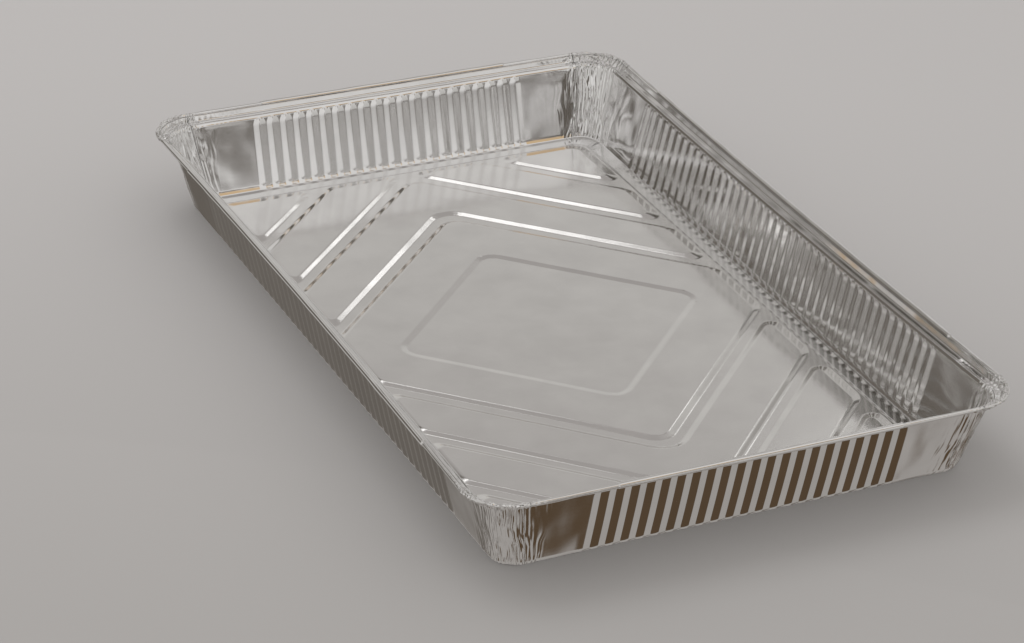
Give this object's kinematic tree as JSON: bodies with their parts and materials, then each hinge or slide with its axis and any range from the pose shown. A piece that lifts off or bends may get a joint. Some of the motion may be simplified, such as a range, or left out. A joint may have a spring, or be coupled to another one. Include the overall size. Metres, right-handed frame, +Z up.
{
  "type": "traybake tin",
  "caption": "Shallow rectangular pressed-foil traybake tin with fluted sloping walls, an embossed base, a lid ledge and a rolled edge.",
  "frame": {"origin": "on the surface the tin stands on, under its centre", "axes": "+X along the tin towards its front short side, +Y across it towards its right long side, +Z up out of its mouth"},
  "size_m": [0.322, 0.202, 0.032],
  "materials": {
    "base_foil": "satin rolled foil",
    "wall_foil": "bright rolled foil",
    "corner_foil": "bright crumpled foil",
    "rim_foil": "bright rolled foil",
    "bead_foil": "bright rolled edge"
  },
  "bodies": {
    "root": {"base_panel": "base_foil", "wall_front": "wall_foil", "wall_back": "wall_foil", "wall_left": "wall_foil", "wall_right": "wall_foil", "corner_front_left": "corner_foil", "corner_front_right": "corner_foil", "corner_back_left": "corner_foil", "corner_back_right": "corner_foil", "ledge_front": "rim_foil", "ledge_back": "rim_foil", "ledge_left": "rim_foil", "ledge_right": "rim_foil", "ledge_corner_front_left": "rim_foil", "ledge_corner_front_right": "rim_foil", "ledge_corner_back_left": "rim_foil", "ledge_corner_back_right": "rim_foil", "bead_front": "bead_foil", "bead_back": "bead_foil", "bead_left": "bead_foil", "bead_right": "bead_foil", "bead_corner_front_left": "bead_foil", "bead_corner_front_right": "bead_foil", "bead_corner_back_left": "bead_foil", "bead_corner_back_right": "bead_foil"}
  },
  "joints": []
}
